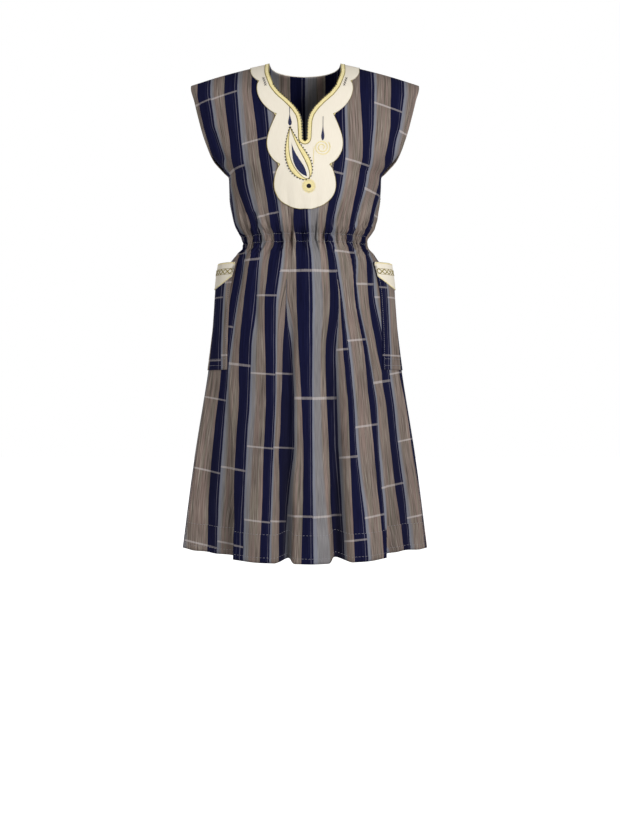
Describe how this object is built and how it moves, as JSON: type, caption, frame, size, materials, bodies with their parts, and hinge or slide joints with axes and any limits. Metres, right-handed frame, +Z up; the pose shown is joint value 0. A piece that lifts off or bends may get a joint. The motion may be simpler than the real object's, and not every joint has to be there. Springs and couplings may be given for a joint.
{
  "type": "sleeveless smock dress",
  "caption": "Sleeveless knee-length smock dress of strip-woven cloth, gathered at the waist, with a scalloped slit-neck yoke and a patch pocket over each side seam.",
  "frame": {"origin": "midway between the shoulders, at the height where the wearer's shoulders carry the dress", "axes": "+X to the wearer's left, -Y to the front, +Z up"},
  "size_m": [0.5134, 0.2681, 1.0412],
  "materials": {
    "strip_cloth": "matte strip-woven cotton in navy, taupe and grey-blue bands",
    "cream_cloth": "matte plain-woven cotton, embroidered",
    "gold_braid": "satin machine embroidery thread"
  },
  "bodies": {
    "root": {"front_panel": "strip_cloth", "back_panel": "strip_cloth", "right_pocket": "strip_cloth", "left_pocket": "strip_cloth", "front_yoke": "cream_cloth", "back_yoke": "cream_cloth", "right_pocket_trim": "cream_cloth", "left_pocket_trim": "cream_cloth", "front_neck_binding": "gold_braid", "back_neck_binding": "gold_braid"}
  },
  "joints": []
}
